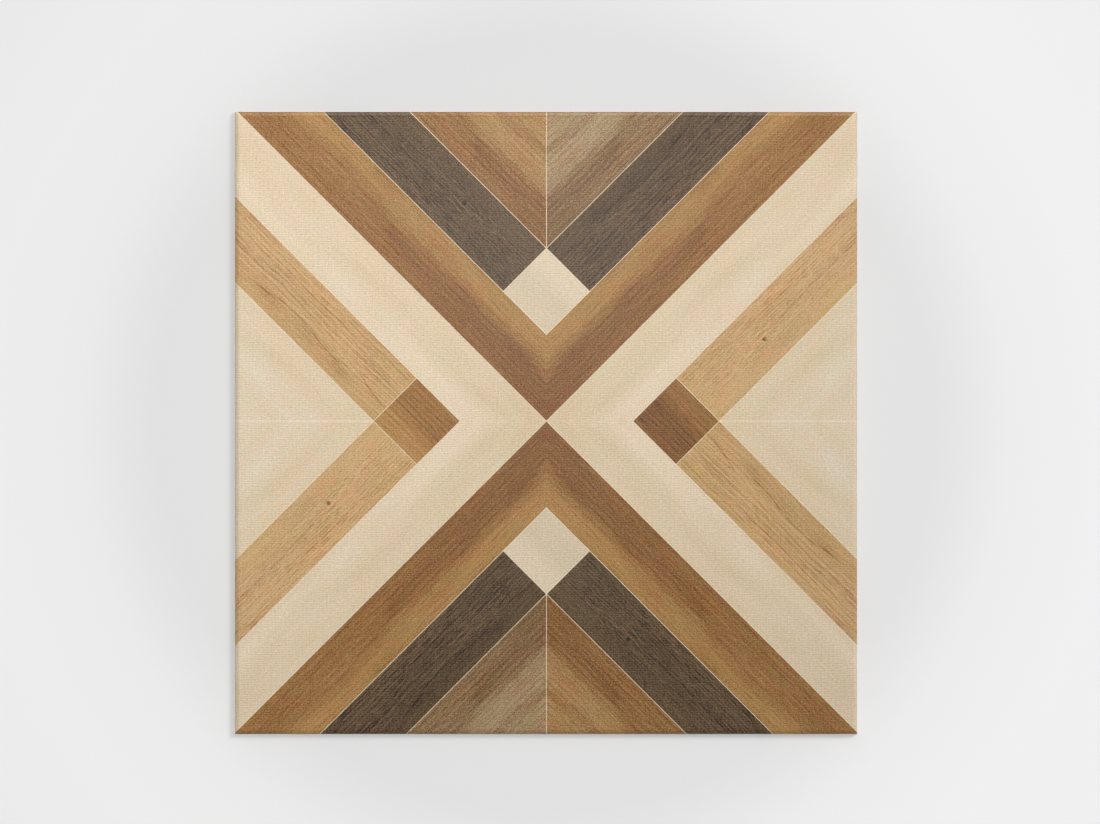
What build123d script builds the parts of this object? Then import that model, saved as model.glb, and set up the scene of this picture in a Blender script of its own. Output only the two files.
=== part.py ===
from build123d import *
import os

# Vinyl floor tile lying on its back: X and Y along the edges, +Z up through the printed face.
# The origin is the middle of the back face.

# Driving dimensions, millimetres
tile_side = 200.0  # cut size of the square
tile_thickness = 2.5  # back face to printed face
edge_radius = 1.8  # rounding pressed along all four edges of the printed face


def half_section():
    """Half of the tile's cross-section in XZ, from the middle out to one cut wall and its rounded edge."""
    run = tile_side / 2
    with BuildSketch(Plane.XZ) as section:
        with BuildLine():
            back = Line((0, 0), (run, 0))
            wall = Line(back @ 1, (run, tile_thickness - edge_radius))
            rounding = RadiusArc(wall @ 1, (run - edge_radius, tile_thickness), -edge_radius)
            face = Line(rounding @ 1, (0, tile_thickness))
            Line(face @ 1, back @ 0)
        make_face()
    return section.sketch


def vinyl_tile():
    """The square tile: a strip of the full section, crossed with the same strip turned a quarter.

    What the two strips share has the section on all four sides, with the roundings mitred at the corners.
    """
    half = half_section()
    section = half + mirror(half, about=Plane.YZ)
    strip = extrude(section, amount=tile_side / 2, both=True)
    return strip & strip.rotate(Axis.Z, 90)


tile = vinyl_tile()
tile.label = "vinyl_tile"

os.makedirs("parts", exist_ok=True)
export_step(tile, "parts/vinyl_tile.step")
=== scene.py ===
import math
import bmesh
import bpy
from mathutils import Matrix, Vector


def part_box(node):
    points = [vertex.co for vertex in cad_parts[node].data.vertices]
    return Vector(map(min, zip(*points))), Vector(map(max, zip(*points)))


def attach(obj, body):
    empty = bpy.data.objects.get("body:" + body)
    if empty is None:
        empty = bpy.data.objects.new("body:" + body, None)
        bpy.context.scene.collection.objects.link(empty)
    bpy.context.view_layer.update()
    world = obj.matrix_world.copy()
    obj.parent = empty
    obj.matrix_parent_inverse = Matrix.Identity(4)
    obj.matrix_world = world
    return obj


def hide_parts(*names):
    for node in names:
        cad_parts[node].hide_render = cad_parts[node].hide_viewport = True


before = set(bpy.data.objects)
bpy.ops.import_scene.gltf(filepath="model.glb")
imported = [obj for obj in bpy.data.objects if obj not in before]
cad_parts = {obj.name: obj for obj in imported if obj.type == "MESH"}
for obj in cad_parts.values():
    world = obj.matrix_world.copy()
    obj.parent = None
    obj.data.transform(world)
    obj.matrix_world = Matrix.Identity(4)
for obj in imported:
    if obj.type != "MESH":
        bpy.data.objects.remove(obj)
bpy.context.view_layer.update()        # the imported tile, which stays as it is
scene = bpy.context.scene
scene.view_settings.view_transform = "Standard"
bpy.ops.object.select_all(action="DESELECT")  # the frame comes in selected

mm = 0.001
root2 = math.sqrt(2)
print("frame loaded:", list(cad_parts))


# Node helpers

def linear(red, green, blue):  # screen levels 0 to 255, as the linear values that nodes take
    def level(shade):
        shade = shade / 255
        return shade / 12.92 if shade <= 0.04045 else ((shade + 0.055) / 1.055) ** 2.4
    return (level(red), level(green), level(blue), 1.0)


def addNode(tree, kind, **settings):
    node = tree.nodes.new(kind)
    for name, value in settings.items():
        setattr(node, name, value)
    return node


def feed(tree, socket, value):  # a link where value is a socket, else a plain setting
    if isinstance(value, bpy.types.NodeSocket):
        tree.links.new(value, socket)
    else:
        socket.default_value = value


def calc(tree, operation, first, second=0.0, third=0.0):
    node = addNode(tree, "ShaderNodeMath", operation=operation)
    for socket, value in zip(node.inputs, (first, second, third)):
        feed(tree, socket, value)
    return node.outputs["Value"]


def remap(tree, value, fromLow, fromHigh, toLow=0.0, toHigh=1.0, curve="SMOOTHSTEP"):
    node = addNode(tree, "ShaderNodeMapRange", interpolation_type=curve, clamp=True)
    for socket, setting in zip(node.inputs, (value, fromLow, fromHigh, toLow, toHigh)):
        feed(tree, socket, setting)
    return node.outputs["Result"]


def ramp(tree, value, stops, curve="LINEAR"):  # stops are (position 0 to 1, linear colour)
    node = addNode(tree, "ShaderNodeValToRGB")
    node.color_ramp.interpolation = curve
    marks = node.color_ramp.elements
    while len(marks) < len(stops):
        marks.new(0.5)
    for mark, (position, colour) in zip(marks, stops):
        mark.position = position
        mark.color = colour
    feed(tree, node.inputs["Fac"], value)
    return node.outputs["Color"]


def mapPlace(tree, layer):  # mm over the tile or along a board, from one of the mesh's own maps
    place = addNode(tree, "ShaderNodeUVMap", uv_map=layer).outputs["UV"]
    parts = addNode(tree, "ShaderNodeSeparateXYZ")
    feed(tree, parts.inputs["Vector"], place)
    return place, parts.outputs["X"], parts.outputs["Y"]


def bentPlace(tree, along, across):  # a place from two numbers
    joined = addNode(tree, "ShaderNodeCombineXYZ")
    feed(tree, joined.inputs["X"], along)
    feed(tree, joined.inputs["Y"], across)
    return joined.outputs["Vector"]


def grain(tree, place, along, across, detail, start):  # stretched noise, waves per mm each way
    sideStart = 0.7 * start  # a start of its own, so that no two noises are alike
    stretch = addNode(tree, "ShaderNodeMapping")
    stretch.inputs["Location"].default_value = (start, sideStart, 0)
    stretch.inputs["Scale"].default_value = (along, across, 1)
    feed(tree, stretch.inputs["Vector"], place)
    noise = addNode(tree, "ShaderNodeTexNoise", noise_dimensions="2D")
    noise.inputs["Scale"].default_value = 1.0
    noise.inputs["Detail"].default_value = detail
    feed(tree, noise.inputs["Vector"], stretch.outputs["Vector"])
    return calc(tree, "SUBTRACT", noise.outputs["Fac"], 0.5)  # swings about 0


def grains(tree, place, noises):  # one noise for each name in a list of settings
    return {name: grain(tree, place, *settings) for name, settings in noises.items()}


def evenLines(tree, place, across, perMm, drift, breaks, start):  # even lines that drift and fade
    swayWaves, fadeSwing, fadeMean, fadeStart = (0.03, 0.2), 1.8, 0.6, start + 2.0
    sway = calc(tree, "MULTIPLY", grain(tree, place, *swayWaves, 0.0, start), drift)
    phase = calc(tree, "MULTIPLY_ADD", across, 2 * math.pi * perMm, sway)
    fade = calc(tree, "MULTIPLY_ADD", grain(tree, place, *breaks, 0.0, fadeStart), fadeSwing, fadeMean)
    return calc(tree, "MULTIPLY", calc(tree, "SINE", phase), fade)


def spot(tree, along, across, middle, reach):  # 1 in the middle of a soft oval, 0 outside
    squares = 0.0
    for place, centre, radius in zip((along, across), middle, reach):
        off = calc(tree, "DIVIDE", calc(tree, "SUBTRACT", place, centre), radius)
        squares = calc(tree, "MULTIPLY_ADD", off, off, squares)
    return remap(tree, calc(tree, "SQRT", squares), 0.0, 1.0, 1.0, 0.0)


def vein(tree, along, across, wobble, line):  # a thin dark line drawn along the board
    start, end, acrossStart, acrossEnd, width = line
    sway, leadIn, leadOut = 1.6, 3.0, 4.0  # mm
    path = remap(tree, along, start, end, acrossStart, acrossEnd)
    path = calc(tree, "MULTIPLY_ADD", wobble, sway, path)
    off = calc(tree, "ABSOLUTE", calc(tree, "SUBTRACT", across, path))
    core = remap(tree, off, 0.0, width, 1.0, 0.0)
    lead = remap(tree, along, start - leadIn, start + leadIn)
    tail = remap(tree, along, end - leadOut, end + leadOut, 1.0, 0.0)
    return calc(tree, "MULTIPLY", core, calc(tree, "MULTIPLY", lead, tail))


def total(tree, parts):  # sum of (value, weight) pairs
    result = 0.0
    for value, weight in parts:
        result = calc(tree, "MULTIPLY_ADD", value, weight, result)
    return result


def startMaterial(name):
    material = bpy.data.materials.new(name)
    material.use_nodes = True
    return material, material.node_tree


# Linen emboss, pressed into the film over the whole print
linenFilm = {
    "noises": {  # waves per mm along and across, detail, start
        "level": (0.8, 2.6, 0.0, 3.0),      # broken threads, level with the top and bottom edges
        "upright": (2.6, 0.8, 0.0, 9.0),
        "pebble": (3.4, 3.4, 0.0, 15.0),
    },
    "rows": {"perMm": 1.35, "drift": 4.0, "breaks": (0.35, 0.9), "start": 27.0},    # level rows
    "columns": {"perMm": 0.9, "drift": 9.0, "breaks": (0.35, 0.9), "start": 33.0},  # upright rows
    "weights": {"rows": 0.18, "columns": 0.065, "level": 0.3, "upright": 0.2, "pebble": 0.7},
    "depth": 0.025 * mm,
    "shade": 0.38,              # light and shade of the emboss painted on the threads, as a share
    "paintedSheen": 0.095,             # and a painted sheen on the threads, by the same step on every colour
    "roughSwing": 0.3,          # weave either way at which the roughness reaches its ends
    "roughness": (0.29, 0.33),  # on the threads, and between them
    "specular": 0.15,
}


def linenGroup(film):
    tree = bpy.data.node_groups.new("linenEmboss", "ShaderNodeTree")
    for name in ("Height", "PaintedShade", "PaintedSheen", "Roughness"):
        tree.interface.new_socket(name, in_out="OUTPUT", socket_type="NodeSocketFloat")
    out = addNode(tree, "NodeGroupOutput")
    flat, x, y = mapPlace(tree, "film")  # laid down the rounding too
    layers = grains(tree, flat, film["noises"])
    layers["rows"] = evenLines(tree, flat, y, **film["rows"])
    layers["columns"] = evenLines(tree, bentPlace(tree, y, x), x, **film["columns"])
    weave = total(tree, [(layers[name], weight) for name, weight in film["weights"].items()])
    swing = film["roughSwing"]
    onThread, between = film["roughness"]
    feed(tree, out.inputs["Height"], calc(tree, "ADD", weave, 0.5))
    # the weave's light and shade and its sheen, painted into the colour beside the bump
    feed(tree, out.inputs["PaintedShade"], calc(tree, "MULTIPLY_ADD", weave, film["shade"], 1.0))
    feed(tree, out.inputs["PaintedSheen"], calc(tree, "MULTIPLY", weave, film["paintedSheen"]))
    feed(tree, out.inputs["Roughness"], remap(tree, weave, -swing, swing, between, onThread))
    return tree


linenNodes = linenGroup(linenFilm)


def finishFilm(tree, colour):  # lays the embossed film over a plank's colour, with the weave's shade and sheen painted in
    shader = tree.nodes["Principled BSDF"]
    linen = addNode(tree, "ShaderNodeGroup", node_tree=linenNodes)
    shaded = addNode(tree, "ShaderNodeVectorMath", operation="MULTIPLY_ADD")
    for socket, value in zip(shaded.inputs, (colour, linen.outputs["PaintedShade"], linen.outputs["PaintedSheen"])):
        feed(tree, socket, value)
    bump = addNode(tree, "ShaderNodeBump")
    bump.inputs["Strength"].default_value = 1.0
    bump.inputs["Distance"].default_value = linenFilm["depth"]
    feed(tree, bump.inputs["Height"], linen.outputs["Height"])
    feed(tree, shader.inputs["Base Color"], shaded.outputs["Vector"])
    feed(tree, shader.inputs["Roughness"], linen.outputs["Roughness"])
    feed(tree, shader.inputs["Normal"], bump.outputs["Normal"])
    shader.inputs["Specular IOR Level"].default_value = linenFilm["specular"]


# Warmer and cooler patches on every plank, and on some a bluer far end, a painted gloss haze
colourCast = {
    "noises": {  # waves per mm along and across, detail, start
        "warm": (0.07, 0.2, 1.0, 91.0),
        "cool": (0.06, 0.16, 1.0, 97.0),
    },
    "greenShare": -0.5,       # of the swing in red
    "blueShare": 1.6,
    "farEnd": (60.0, 120.0),  # mm along, over which the painted gloss haze comes in at the far end
}


def castPatches(tree, place, along, colour, look):
    noise = grains(tree, place, colourCast["noises"])
    swing = look["cast"]
    green, blue = colourCast["greenShare"] * swing, colourCast["blueShare"] * swing
    # painted gloss haze: bluer towards the far end
    far = remap(tree, along, *colourCast["farEnd"], 0.0, look["farPaintedSheen"])
    cast = addNode(tree, "ShaderNodeCombineXYZ")
    feed(tree, cast.inputs["X"], calc(tree, "MULTIPLY_ADD", noise["warm"], swing, 1.0))
    feed(tree, cast.inputs["Y"], calc(tree, "MULTIPLY_ADD", noise["warm"], green, 1.0))
    nearBlue = calc(tree, "MULTIPLY_ADD", noise["cool"], blue, 1.0)
    feed(tree, cast.inputs["Z"], calc(tree, "ADD", nearBlue, far))
    tinted = addNode(tree, "ShaderNodeVectorMath", operation="MULTIPLY")
    feed(tree, tinted.inputs[0], colour)
    feed(tree, tinted.inputs[1], cast.outputs["Vector"])
    return tinted.outputs["Vector"]


def finishPlank(tree, place, along, tone, scale, look):  # a tone becomes a colour, then the film goes on
    stops = [(mark, linear(*tint)) for mark, tint in zip(scale["tintMarks"], look["tints"])]
    colour = ramp(tree, remap(tree, tone, *scale["toneSpan"], 0.0, 1.0, "LINEAR"), stops)
    finishFilm(tree, castPatches(tree, place, along, colour, look))


# Striped board: a dark reddish side, a golden side, fine streaks between
stripedBoard = {
    "noises": {  # waves per mm along and across, detail, start
        "slow": (0.03, 0.07, 1.0, 5.0),
        "streaks": (0.022, 2.8, 0.0, 12.3),
        "broad": (0.03, 0.45, 1.0, 13.0),
        "fine": (0.07, 3.8, 0.0, 17.0),
        "dashes": (0.3, 4.0, 0.0, 19.0),
        "blotches": (0.05, 0.16, 0.0, 23.0),
        "wobble": (0.09, 0.12, 1.0, 31.0),
        "speckle": (1.9, 2.1, 0.0, 37.0),
    },
    "even": {"perMm": 0.6, "drift": 4.0, "breaks": (0.05, 0.3), "start": 63.0},
    "fineShares": {"streaks": 0.9, "fine": 2.4, "dashes": 2.0},  # of a plank's own fine streaks
    "blotchLeast": 0.2,
    "blotchShare": 1.6,  # of a plank's own broad streaks
    "speckle": 0.9,
    "bend": 4.0,         # mm that the bands wander by
    "bandReach": 30.0,   # mm across that the bands below are spread over
    "bands": [(0.0, 0.06), (5.5, 0.08), (7.8, 0.1), (9.4, 0.2), (10.6, 0.2),
              (11.6, 0.3), (13.5, 0.55), (14.6, 0.72), (16.3, 0.72), (17.6, 0.82),
              (18.7, 0.76), (20.2, 0.5), (21.6, 0.54), (23.8, 0.95), (26.2, 0.66)],
    "bandMiddle": 0.62,
    "drawTogether": (45.0, 85.0, 1.0, 0.64),  # mm along, and the share of the bands there
    "farEnd": (85.0, 125.0),                  # mm along, over which the board is painted lighter, making up for the lamp light that falls off towards the corners
    "farPaintedLight": 0.16,
    "redPatches": [((22, 8.5), (9, 4)), ((47, 8.5), (10, 4)), ((76, 7.0), (8, 4))],
    "patchDepth": 0.2,
    "veins": [(20, 33, 10.8, 9.4, 0.4), (20, 42, 4.2, 5.4, 0.4), (45, 62, 10.4, 9.8, 0.35),
              (56, 72, 6.4, 6.0, 0.35), (70, 96, 4.4, 4.0, 0.35)],
    "veinDepth": 0.3,
    "toneSpan": (-0.8, 1.8),
    "tintMarks": (0.0, 0.31, 0.69, 1.0),  # streak, dark side, golden side, highlight
    "planks": {
        "brownChevron": {"fine": 0.28, "broad": 0.08, "even": 0.09, "cast": 0.14, "farPaintedSheen": 0.09,
                         "tints": ((92, 55, 26), (126, 83, 42), (172, 132, 78), (192, 153, 100))},
        "goldenTriangle": {"fine": 0.27, "broad": 0.04, "even": 0.1, "cast": 0.16, "farPaintedSheen": 0.0,
                           "tints": ((88, 52, 24), (122, 80, 39), (176, 138, 90), (196, 159, 110))},
        "taupeTriangle": {"fine": 0.27, "broad": 0.04, "even": 0.1, "cast": 0.18, "farPaintedSheen": 0.0,
                          "tints": ((80, 56, 32), (113, 82, 49), (172, 146, 109), (194, 169, 132))},
        "creamChevron": {"fine": 0.12, "broad": 0.4, "even": 0.02, "cast": 0.055, "farPaintedSheen": 0.0,
                         "tints": ((200, 179, 145), (213, 193, 162), (222, 203, 176), (230, 213, 189))},
        "outerCream": {"fine": 0.12, "broad": 0.35, "even": 0.02, "cast": 0.075, "farPaintedSheen": 0.0,
                       "tints": ((200, 177, 144), (213, 193, 161), (220, 203, 179), (229, 213, 191))},
        "creamDiamond": {"fine": 0.12, "broad": 0.15, "even": 0.02, "cast": 0.05, "farPaintedSheen": 0.0,
                         "tints": ((197, 179, 149), (207, 190, 162), (217, 199, 173), (225, 208, 184))},
        "paleSquare": {"fine": 0.42, "broad": 0.12, "even": 0.3, "cast": 0.1, "farPaintedSheen": 0.0,
                       "tints": ((108, 71, 36), (147, 103, 52), (172, 130, 76), (190, 150, 98))},
        "deepSquare": {"fine": 0.6, "broad": 0.25, "even": 0.2, "cast": 0.12, "farPaintedSheen": 0.0,
                       "tints": ((82, 50, 26), (121, 78, 36), (144, 102, 54), (164, 124, 78))},
    },
}


def stripedWood(name, board):
    look = board["planks"][name]
    material, tree = startMaterial(name)
    place, along, across = mapPlace(tree, "planks")
    noise = grains(tree, place, board["noises"])
    bent = calc(tree, "MULTIPLY_ADD", noise["slow"], board["bend"], across)
    reach, middle = board["bandReach"], board["bandMiddle"]
    bands = [(where / reach, (level, level, level, 1)) for where, level in board["bands"]]
    tone = ramp(tree, calc(tree, "DIVIDE", bent, reach), bands, "B_SPLINE")
    fade = remap(tree, along, *board["drawTogether"])  # the two sides draw together further out
    tone = calc(tree, "MULTIPLY_ADD", calc(tree, "SUBTRACT", tone, middle), fade, middle)
    layers = [(noise[layer], share * look["fine"]) for layer, share in board["fineShares"].items()]
    layers += [(noise["broad"], look["broad"])]
    layers += [(noise["blotches"], board["blotchLeast"] + board["blotchShare"] * look["broad"])]
    layers += [(evenLines(tree, place, across, **board["even"]), look["even"])]
    # painted light towards the far end, for the lamp light that falls off there
    layers += [(remap(tree, along, *board["farEnd"]), board["farPaintedLight"])]
    layers += [(noise["speckle"], board["speckle"])]
    for line in board["veins"]:
        layers += [(vein(tree, along, across, noise["wobble"], line), -board["veinDepth"])]
    layers += [(spot(tree, along, across, *patch), -board["patchDepth"]) for patch in board["redPatches"]]
    finishPlank(tree, place, along, calc(tree, "ADD", tone, total(tree, layers)), board, look)
    return material


# Fine lines that the flowing and the knotted board share
poreLines = {
    "noises": {  # waves per mm along and across, detail, start
        "streaks": (0.022, 2.8, 0.0, 41.0),
        "broad": (0.03, 0.36, 0.0, 43.0),
        "fine": (0.07, 3.8, 0.0, 47.0),
        "pores": (0.2, 3.4, 0.0, 53.0),
        "dashes": (0.3, 3.8, 0.0, 59.0),
        "slow": (0.045, 0.15, 1.0, 83.0),
        "speckle": (1.9, 2.1, 0.0, 87.0),
    },
    "even": {"perMm": 0.6, "drift": 4.0, "breaks": (0.05, 0.3), "start": 67.0},
    "close": {"perMm": 1.0, "drift": 6.0, "breaks": (0.18, 0.6), "start": 73.0},
    "poreLevels": (0.04, 0.2),  # noise at which a pore starts to show, and at which it is full
    "shares": {"streaks": 1.2, "fine": 2.0, "dashes": 2.0, "pores": -0.9},  # of a plank's own strength
    "calmer": (11.5, 15.5, 1.0, 0.45),  # mm across, and the share of the lines there
    "broad": 0.24,
    "slow": 0.42,
    "speckleShare": 2.3,
    "toneSpan": (-2.0, 1.0),
    "tintMarks": (0.0, 0.33, 0.67, 1.0),  # knot, streak, board, highlight
}


def poreLayers(tree, along, bent, across, look):  # the lines follow the bent grain
    flow = bentPlace(tree, along, bent)
    noise = grains(tree, flow, poreLines["noises"])
    noise["pores"] = remap(tree, noise["pores"], *poreLines["poreLevels"])
    strength = look["strength"]
    lines = [(noise[layer], share * strength) for layer, share in poreLines["shares"].items()]
    lines += [(evenLines(tree, flow, bent, **poreLines[step]), look[step]) for step in ("even", "close")]
    calm = remap(tree, across, *poreLines["calmer"])  # plainer towards the outer side
    layers = [(total(tree, lines), calm)]
    layers += [(noise[layer], poreLines[layer]) for layer in ("broad", "slow")]
    return layers + [(noise["speckle"], poreLines["speckleShare"] * strength)]


# Flowing board: long arched lines with two dark eyes
flowingBoard = {
    "wobble": (0.07, 0.1, 1.0, 61.0),   # waves per mm along and across, detail, start
    "sway": 0.8,                        # mm that the wobble moves a line
    "archMiddle": 58.0,                 # mm along
    "archLength": 48.0,
    "archRise": (4.0, 16.0, 0.0, 0.8),  # mm across, and the mm that the lines bow there
    "eyes": [((58, 15.8), (9, 3.2)), ((92, 15.4), (11, 3.4))],
    "eyeDepth": 0.3,
    "veins": [(40, 56, 14.0, 11.6, 0.4), (60, 82, 14.4, 12.8, 0.45), (84, 96, 12.8, 15.0, 0.45),
              (41, 54, 8.9, 9.0, 0.35), (41, 57, 7.6, 7.4, 0.3), (43, 56, 6.8, 6.7, 0.3),
              (86, 104, 6.6, 6.0, 0.35), (80, 100, 7.6, 7.9, 0.3)],
    "veinBreaks": (0.35, 1.5, 1.0, 77.0),
    "veinWeights": (-0.25, 0.1, -0.4, -0.75),  # levels of those breaks, and a vein's weight there
    "outerSide": (11.5, 14.5),                 # mm across, over which the board turns darker
    "outerDepth": 0.13,
    "planks": {
        "flowingOak": {"strength": 0.32, "even": 0.26, "close": 0.23, "cast": 0.11, "farPaintedSheen": 0.07,
                       "tints": ((118, 88, 50), (148, 110, 63), (194, 157, 108), (216, 182, 134))},
        "flowingDark": {"strength": 0.6, "even": 0.3, "close": 0.3, "cast": 0.14, "farPaintedSheen": 0.07,
                        "tints": ((30, 20, 12), (48, 32, 18), (92, 72, 49), (120, 99, 74))},
    },
}


def flowingWood(name, board):
    look = board["planks"][name]
    material, tree = startMaterial(name)
    place, along, across = mapPlace(tree, "planks")
    wobble = grain(tree, place, *board["wobble"])
    past = calc(tree, "SUBTRACT", along, board["archMiddle"])
    arch = calc(tree, "COSINE", calc(tree, "MULTIPLY", past, 2 * math.pi / board["archLength"]))
    bow = calc(tree, "MULTIPLY", arch, remap(tree, across, *board["archRise"]))
    bent = calc(tree, "SUBTRACT", across, calc(tree, "MULTIPLY_ADD", wobble, board["sway"], bow))
    layers = poreLayers(tree, along, bent, across, look)
    broken = remap(tree, grain(tree, place, *board["veinBreaks"]), *board["veinWeights"])
    layers += [(vein(tree, along, across, wobble, line), broken) for line in board["veins"]]
    layers += [(spot(tree, along, across, *eye), -board["eyeDepth"]) for eye in board["eyes"]]
    layers += [(remap(tree, across, *board["outerSide"]), -board["outerDepth"])]
    finishPlank(tree, place, along, total(tree, layers), poreLines, look)
    return material


# Knotted board: short dark pores that part round one small knot
knottedBoard = {
    "wobble": (0.06, 0.1, 1.0, 71.0),       # waves per mm along and across, detail, start
    "sway": 0.6,                            # mm that the wobble moves a line
    "knot": (68.0, 11.25),                  # mm along and across
    "knotRadius": (1.0, 1.0),
    "knotDepth": 2.6,
    "nearReach": (20.0, 8.0),               # mm round the knot that the grain parts over
    "nearDepth": 0.06,
    "partSides": (-5.0, 5.0, -1.0, 1.0),    # mm to the knot's sides, and the way that the grain goes there
    "part": 1.2,                            # mm that the grain is pushed aside
    "planks": {
        "knottedOak": {"strength": 0.36, "even": 0.06, "close": 0.22, "cast": 0.15, "farPaintedSheen": 0.07,
                       "tints": ((120, 93, 54), (150, 111, 63), (198, 161, 113), (218, 185, 139))},
        "knottedDark": {"strength": 0.62, "even": 0.05, "close": 0.34, "cast": 0.14, "farPaintedSheen": 0.07,
                        "tints": ((22, 15, 9), (48, 32, 18), (93, 73, 49), (120, 99, 74))},
    },
}


def knottedWood(name, board):
    look = board["planks"][name]
    material, tree = startMaterial(name)
    place, along, across = mapPlace(tree, "planks")
    wobble = grain(tree, place, *board["wobble"])
    side = calc(tree, "SUBTRACT", across, board["knot"][1])
    near = spot(tree, along, across, board["knot"], board["nearReach"])
    parted = calc(tree, "MULTIPLY", remap(tree, side, *board["partSides"]), near)
    push = calc(tree, "MULTIPLY", parted, board["part"])
    bent = calc(tree, "SUBTRACT", calc(tree, "MULTIPLY_ADD", wobble, board["sway"], across), push)
    heart = spot(tree, along, across, board["knot"], board["knotRadius"])
    layers = poreLayers(tree, along, bent, across, look)
    layers += [(heart, -board["knotDepth"]), (near, -board["nearDepth"])]
    finishPlank(tree, place, along, total(tree, layers), poreLines, look)
    return material


# Joint lines between planks, and the vinyl under the print
tileBody = {
    "jointLine": ((230, 210, 178), (240, 221, 190)),
    "mitreLine": ((240, 219, 211), (250, 230, 223)),  # whiter, along the mitres of the outer cream
    "lineWear": (0.3, 0.3, 2.0, 81.0),                # waves per mm along and across, detail, start
    "cutWall": {"tints": ((176, 164, 148), (198, 188, 172)), "roughness": 0.7, "speckle": 1500},
    "tileBack": {"tints": ((150, 146, 140), (166, 162, 155)), "roughness": 0.78, "speckle": 400},
    "speckleDetail": 3.0,
    "depth": 0.03 * mm,
    "specular": 0.3,
    "tintMarks": (0.3, 0.7),
}


def twoTints(tree, level, tints):
    return ramp(tree, level, [(mark, linear(*tint)) for mark, tint in zip(tileBody["tintMarks"], tints)])


def wornLine(name, body):
    material, tree = startMaterial(name)
    place = mapPlace(tree, "planks")[0]
    worn = calc(tree, "ADD", grain(tree, place, *body["lineWear"]), 0.5)
    finishFilm(tree, twoTints(tree, worn, body[name]))
    return material


def filledVinyl(name, body):  # chalky body seen on the cut walls and the back
    look = body[name]
    material, tree = startMaterial(name)
    shader = tree.nodes["Principled BSDF"]
    place = addNode(tree, "ShaderNodeTexCoord").outputs["Object"]
    noise = addNode(tree, "ShaderNodeTexNoise")
    noise.inputs["Scale"].default_value = look["speckle"]
    noise.inputs["Detail"].default_value = body["speckleDetail"]
    feed(tree, noise.inputs["Vector"], place)
    bump = addNode(tree, "ShaderNodeBump")
    bump.inputs["Distance"].default_value = body["depth"]
    feed(tree, bump.inputs["Height"], noise.outputs["Fac"])
    feed(tree, shader.inputs["Normal"], bump.outputs["Normal"])
    feed(tree, shader.inputs["Base Color"], twoTints(tree, noise.outputs["Fac"], look["tints"]))
    shader.inputs["Roughness"].default_value = look["roughness"]
    shader.inputs["Specular IOR Level"].default_value = body["specular"]
    return material


finishes = {name: stripedWood(name, stripedBoard) for name in stripedBoard["planks"]}
finishes |= {name: flowingWood(name, flowingBoard) for name in flowingBoard["planks"]}
finishes |= {name: knottedWood(name, knottedBoard) for name in knottedBoard["planks"]}
finishes |= {name: wornLine(name, tileBody) for name in ("jointLine", "mitreLine")}
finishes |= {name: filledVinyl(name, tileBody) for name in ("cutWall", "tileBack")}
print("materials made:", len(finishes))


# The tile: a slab with its face edges rounded, its face cut along every joint of the print
printedTile = {
    "edgeRadius": 1.8 * mm,
    "roundSteps": 8,              # strips in the rounding
    "plankWidth": 19.61 * mm,
    "jointWidth": 0.18 * mm,
    "printMiddle": (0.13 * mm, 0.61 * mm),  # the print sits a little off the tile's middle
    "printedTilt": 0.05,          # a face whose normal rises more than this carries the print
    "backTilt": -0.5,             # and one that falls more than this is the back
    "edgeReach": 1e-6,            # metres below the face within which an edge belongs to it
    "weldReach": 1e-7,            # metres within which cut points are one
    "smoothAngle": 30,            # degrees
    "bakeMap": {"margin": 0.01, "faceShare": 0.84, "backShare": 0.13, "wallStep": 0.03, "wallStretch": 4},
}
tileLow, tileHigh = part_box("vinyl_tile")
plank = printedTile["plankWidth"]
halfJoint = printedTile["jointWidth"] / 2
mitreStart = 2 * plank * root2  # from here outwards the mitre has a line of its own
middleX, middleY = printedTile["printMiddle"]


def addSlab(shape):
    bpy.ops.mesh.primitive_cube_add(size=1, location=(tileLow + tileHigh) / 2)
    slab = bpy.context.object
    slab.name = "printed_tile"
    slab.scale = tileHigh - tileLow
    bpy.ops.object.transform_apply(location=True, rotation=True, scale=True)
    bpy.ops.object.mode_set(mode="EDIT")
    bpy.ops.mesh.select_mode(type="EDGE")
    bpy.ops.mesh.select_all(action="DESELECT")
    net = bmesh.from_edit_mesh(slab.data)
    for edge in net.edges:  # the four edges of the face
        edge.select_set(all(corner.co.z > tileHigh.z - shape["edgeReach"] for corner in edge.verts))
    bmesh.update_edit_mesh(slab.data)
    bpy.ops.mesh.bevel(offset=shape["edgeRadius"], segments=shape["roundSteps"], profile=0.5,
                       affect="EDGES", clamp_overlap=False)
    return slab


def boardSpot(point, signs):  # along and across the grain of one quarter of the print
    x = signs[0] * (point.x - middleX)
    y = signs[1] * (point.y - middleY)
    return (x + y) / root2, (y - x) / root2


def quarterOf(point):
    return (1 if point.x > middleX else -1, 1 if point.y > middleY else -1)


def cut(slab, wanted, throughX, throughY, normalX, normalY):  # parts the printed faces that wanted picks
    bpy.ops.mesh.select_mode(type="FACE")
    bpy.ops.mesh.select_all(action="DESELECT")
    net = bmesh.from_edit_mesh(slab.data)
    for face in net.faces:
        middle = face.calc_center_median()
        face.select_set(face.normal.z > printedTile["printedTilt"] and wanted(middle))
    bmesh.update_edit_mesh(slab.data)
    bpy.ops.mesh.bisect(plane_co=(throughX, throughY, 0), plane_no=(normalX, normalY, 0),
                        threshold=printedTile["weldReach"])


def cutAcross(slab, wanted, signs, distance, alongGrain):  # at a distance in one quarter's own frame
    if alongGrain:
        normalX, normalY = -signs[0] / root2, signs[1] / root2
    else:
        normalX, normalY = signs[0] / root2, signs[1] / root2
    cut(slab, lambda p: quarterOf(p) == signs and wanted(*boardSpot(p, signs)),
        middleX + normalX * distance, middleY + normalY * distance, normalX, normalY)


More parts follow.
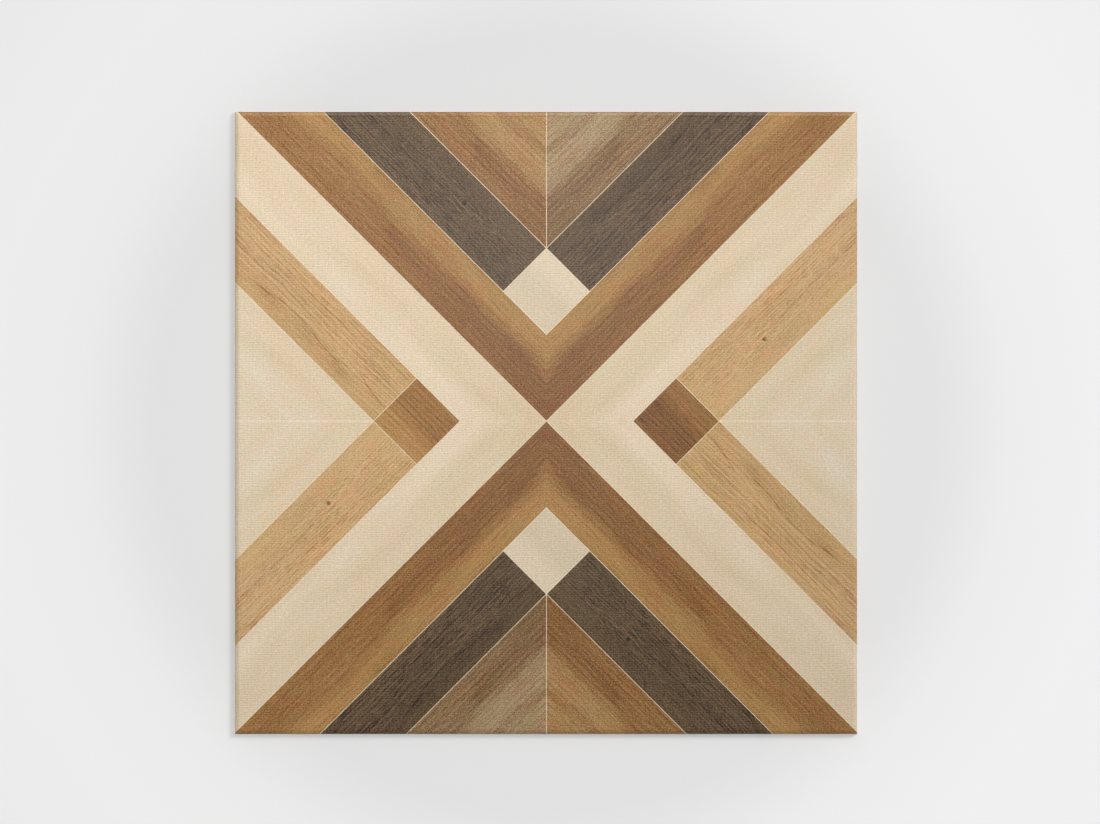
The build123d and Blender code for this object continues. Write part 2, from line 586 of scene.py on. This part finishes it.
def cutPrint(slab):
    cut(slab, lambda p: True, middleX, middleY, 1, 0)
    cut(slab, lambda p: True, middleX, middleY, 0, 1)
    for signs in ((-1, 1), (1, 1), (-1, -1), (1, -1)):
        for row in (-2, -1, 0, 1, 2):  # both sides of each joint along the grain
            for side in (-halfJoint, halfJoint):
                cutAcross(slab, lambda u, v: True, signs, row * plank + side, True)
        for side in (-halfJoint, halfJoint):  # the ends of the dark and oak planks
            cutAcross(slab, lambda u, v: plank + halfJoint < abs(v) < 2 * plank - halfJoint, signs,
                      2 * plank + side, False)
    lineStart = mitreStart - halfJoint
    for side in (-halfJoint, halfJoint):  # lines along the outer mitres
        cut(slab, lambda p: abs(p.y - middleY) > lineStart and abs(p.x - middleX) < plank * 2,
            middleX + side, middleY, 1, 0)
        cut(slab, lambda p: abs(p.x - middleX) > lineStart and abs(p.y - middleY) < plank * 2,
            middleX, middleY + side, 0, 1)
    bpy.ops.mesh.select_all(action="SELECT")
    bpy.ops.mesh.remove_doubles(threshold=printedTile["weldReach"])
    bpy.ops.object.mode_set(mode="OBJECT")


def plankAt(middle):  # material, quarter and row of the print at a face's middle
    signs = quarterOf(middle)
    along, across = boardSpot(middle, signs)
    offX, offY = abs(middle.x - middleX), abs(middle.y - middleY)
    row = min(int(abs(across) / plank), 2)
    twinA = signs[0] * signs[1] < 0  # upper left and lower right share their boards
    onRow = any(abs(across - k * plank) < halfJoint for k in (-2, -1, 0, 1, 2))
    onEnd = row == 1 and abs(along - 2 * plank) < halfJoint
    onMitre = min(offX, offY) < halfJoint and max(offX, offY) > mitreStart
    if onMitre and offX > offY:
        return "mitreLine", signs, row
    if onRow or onEnd or onMitre:
        return "jointLine", signs, row
    if row == 1 and along < 2 * plank:  # squares and diamonds keep one frame across the middle
        if across > 0:
            return "creamDiamond", ((-1, 1) if signs[1] > 0 else (1, -1)), row
        return ("paleSquare", (-1, 1), row) if signs[0] < 0 else ("deepSquare", (1, -1), row)
    upper = ("brownChevron", "knottedDark" if twinA else "flowingDark",
             "goldenTriangle" if twinA else "taupeTriangle")
    outer = ("creamChevron", "flowingOak" if twinA else "knottedOak", "outerCream")
    return (upper if across > 0 else outer)[row], signs, row


def unrolled(distance):  # distance from the middle measured over the rounding
    run = tileHigh.x - printedTile["edgeRadius"]
    over = min(max(abs(distance) - run, 0.0) / printedTile["edgeRadius"], 1.0)
    return math.copysign(min(abs(distance), run) + printedTile["edgeRadius"] * math.asin(over), distance)


def dressTile(slab, shape):
    mesh = slab.data
    names = list(finishes)
    for name in names:
        mesh.materials.append(finishes[name])
    mesh.uv_layers.remove(mesh.uv_layers[0])
    mesh.uv_layers.new(name="planks")
    mesh.uv_layers.new(name="film")
    boards, film = mesh.uv_layers["planks"], mesh.uv_layers["film"]
    for face in mesh.polygons:
        if face.normal.z < shape["printedTilt"]:
            isBack = face.normal.z < shape["backTilt"]
            face.material_index = names.index("tileBack" if isBack else "cutWall")
            continue
        name, signs, row = plankAt(face.center)
        face.material_index = names.index(name)
        for corner in face.loop_indices:
            point = mesh.vertices[mesh.loops[corner].vertex_index].co
            along, across = boardSpot(point, signs)
            boards.data[corner].uv = (along / mm, (abs(across) - row * plank) / mm)
            film.data[corner].uv = (unrolled(point.x) / mm, unrolled(point.y) / mm)


def layBakeMap(slab, shape):  # a flat map of the whole tile with most of its room for the print
    mesh = slab.data
    flat = mesh.uv_layers.new(name="OFBake")
    room = shape["bakeMap"]
    margin, faceShare, backShare = room["margin"], room["faceShare"], room["backShare"]
    side = 2 * unrolled(tileHigh.x)
    for face in mesh.polygons:
        turn = round(math.atan2(face.normal.y, face.normal.x) / (math.pi / 2)) % 4  # which wall
        wallStart = 2 * margin + faceShare + turn * room["wallStep"]
        for corner in face.loop_indices:
            point = mesh.vertices[mesh.loops[corner].vertex_index].co
            if face.normal.z > shape["printedTilt"]:
                place = [margin + faceShare * (0.5 + unrolled(c) / side) for c in (point.x, point.y)]
            elif face.normal.z < shape["backTilt"]:
                place = [1 - margin - backShare * (0.5 - c / side) for c in (point.x, point.y)]
            else:
                run = point.y if turn in (0, 2) else point.x
                place = [margin + faceShare * (0.5 + run / side),
                         wallStart + room["wallStretch"] * point.z / side]
            flat.data[corner].uv = place


tile = addSlab(printedTile)
cutPrint(tile)
dressTile(tile, printedTile)
layBakeMap(tile, printedTile)
bpy.ops.object.shade_smooth_by_angle(angle=math.radians(printedTile["smoothAngle"]))
weighted = tile.modifiers.new("flatFaces", "WEIGHTED_NORMAL")
weighted.keep_sharp = True
bpy.ops.object.modifier_apply(modifier=weighted.name)
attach(tile, "root")
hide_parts("vinyl_tile")
print("tile cut and dressed:", len(tile.data.polygons), "faces")


# Floor, light and camera
studio = {
    "floorDrop": 0.05 * mm,
    "floorSize": 6.0,
    "floorPaintedShadow": [(0.0, 229), (0.125, 230), (0.135, 234),  # metres from the middle, grey level; darker near the tile as a painted soft shadow
                   (0.15, 241), (0.18, 245), (0.3, 246)],
    "floorLean": (-0.55, 1.1),  # how the light grows over the floor, per metre each way
    "leanMost": 0.25,           # and where it stops growing
    "floorRoughness": 0.9,
    "skyTint": (238, 238, 238),
    "skyShare": 0.35,          # shares of the light that falls on the tile
    "keyLamp": {"azimuth": 38, "elevation": 36, "distance": 2.5, "size": 0.8, "share": 0.25},
    "overhead": {"place": (-0.03, 0.08, 1.1), "aim": (-0.34, 0.51, 0.0), "angle": 98,
                 "radius": 0.1, "share": 0.4},
    "sheenLamp": {"azimuth": 95, "elevation": 83, "distance": 1.12, "size": 0.2, "share": 0.26},
    "rimLamp": {"azimuth": 90, "elevation": 18, "distance": 1.2, "size": 1.5, "share": 0.95},
    "sheenTint": (1.0, 0.96, 0.92),
    "lens": 85.0,
    "sensor": 36.0,
    "clipStart": 0.01,
    "frameWidth": 353.64 * mm,   # seen across the picture where the tile is widest
    "cameraOff": (1.27 * mm, 3.54 * mm),
}


def addFloor(look):
    bpy.ops.mesh.primitive_plane_add(size=look["floorSize"], location=(0, 0, tileLow.z - look["floorDrop"]))
    floor = bpy.context.object
    floor.name = "studio_floor"
    bpy.ops.object.transform_apply(location=True, rotation=True, scale=True)
    material, tree = startMaterial("paleFloor")
    shader = tree.nodes["Principled BSDF"]
    place = addNode(tree, "ShaderNodeTexCoord").outputs["Object"]
    far = addNode(tree, "ShaderNodeVectorMath", operation="LENGTH")
    feed(tree, far.inputs[0], place)
    reach = look["floorPaintedShadow"][-1][0]
    # painted soft shadow: the floor is greyer close round the tile
    stops = [(radius / reach, linear(grey, grey, grey)) for radius, grey in look["floorPaintedShadow"]]
    colour = ramp(tree, calc(tree, "DIVIDE", far.outputs["Value"], reach), stops)
    # painted shade: the floor is painted darker where the lamps light it more, so that it looks even
    lean = addNode(tree, "ShaderNodeVectorMath", operation="DOT_PRODUCT")
    feed(tree, lean.inputs[0], place)
    lean.inputs[1].default_value = (*look["floorLean"], 0)
    most = look["leanMost"]
    light = remap(tree, lean.outputs["Value"], -most, most, 1 - most, 1 + most, "LINEAR")
    evened = addNode(tree, "ShaderNodeVectorMath", operation="DIVIDE")
    feed(tree, evened.inputs[0], colour)
    feed(tree, evened.inputs[1], light)
    feed(tree, shader.inputs["Base Color"], evened.outputs["Vector"])
    shader.inputs["Roughness"].default_value = look["floorRoughness"]
    shader.inputs["Specular IOR Level"].default_value = 0.0
    floor.data.materials.append(material)


def addSpot(name, lamp):  # soft cone whose rim crosses the tile, so that the light leans over the face
    place, aim = Vector(lamp["place"]), Vector(lamp["aim"])
    axis = (aim - place).normalized()
    towards = -place.normalized()
    rim = math.cos(math.radians(lamp["angle"] / 2))
    depth = (axis.dot(towards) - rim) / (1 - rim)
    strength = depth * depth * (3 - 2 * depth)  # of the cone at the tile
    light = bpy.data.lights.new(name, "SPOT")
    light.spot_size = math.radians(lamp["angle"])
    light.spot_blend = 1.0
    light.shadow_soft_size = lamp["radius"]
    light.energy = lamp["share"] * 4 * math.pi ** 2 * place.length_squared / (strength * -towards.z)
    holder = bpy.data.objects.new(name, light)
    holder.location = place
    holder.rotation_euler = axis.to_track_quat("-Z", "Y").to_euler()
    holder.visible_camera = False
    holder.visible_glossy = False
    scene.collection.objects.link(holder)


def addLamp(name, lamp):
    azimuth, elevation = math.radians(lamp["azimuth"]), math.radians(lamp["elevation"])
    towards = Vector((math.cos(azimuth) * math.cos(elevation), math.sin(azimuth) * math.cos(elevation),
                      math.sin(elevation)))
    light = bpy.data.lights.new(name, "AREA")
    light.size = lamp["size"]
    light.energy = lamp["share"] * math.pi ** 2 * lamp["distance"] ** 2 / math.sin(elevation)
    holder = bpy.data.objects.new(name, light)
    holder.location = towards * lamp["distance"]
    holder.rotation_euler = towards.to_track_quat("Z", "Y").to_euler()
    holder.visible_camera = False
    scene.collection.objects.link(holder)
    return holder


def addSky(look):
    world = bpy.data.worlds.new("paleSky")
    scene.world = world
    world.use_nodes = True
    tree = world.node_tree
    tree.nodes.clear()
    path = addNode(tree, "ShaderNodeLightPath")
    mirrored = calc(tree, "MAXIMUM", path.outputs["Is Glossy Ray"], path.outputs["Is Transmission Ray"])
    seen = calc(tree, "MAXIMUM", path.outputs["Is Camera Ray"], mirrored)
    lit = addNode(tree, "ShaderNodeBackground")
    lit.inputs["Color"].default_value = (1, 1, 1, 1)
    lit.inputs["Strength"].default_value = look["skyShare"]
    backdrop = addNode(tree, "ShaderNodeBackground")
    backdrop.inputs["Color"].default_value = linear(*look["skyTint"])
    backdrop.inputs["Strength"].default_value = 1.0
    mix = addNode(tree, "ShaderNodeMixShader")
    feed(tree, mix.inputs[0], seen)
    feed(tree, mix.inputs[1], lit.outputs[0])
    feed(tree, mix.inputs[2], backdrop.outputs[0])
    out = addNode(tree, "ShaderNodeOutputWorld")
    feed(tree, out.inputs["Surface"], mix.outputs[0])


def addCamera(look):
    camera = bpy.data.cameras.new("photoView")
    camera.lens = look["lens"]
    camera.sensor_width = look["sensor"]
    camera.clip_start = look["clipStart"]
    holder = bpy.data.objects.new("photoView", camera)
    distance = look["frameWidth"] * look["lens"] / look["sensor"]
    widest = tileHigh.z - printedTile["edgeRadius"]
    holder.location = (*look["cameraOff"], widest + distance)  # straight above
    scene.collection.objects.link(holder)
    scene.camera = holder


addFloor(studio)
addSky(studio)
addLamp("keyLamp", studio["keyLamp"])
addSpot("overhead", studio["overhead"])
for name in ("sheenLamp", "rimLamp"):  # only the film's gloss shows these two
    lamp = addLamp(name, studio[name])
    lamp.visible_diffuse = False
    lamp.data.color = studio["sheenTint"]
addCamera(studio)
print("studio set")
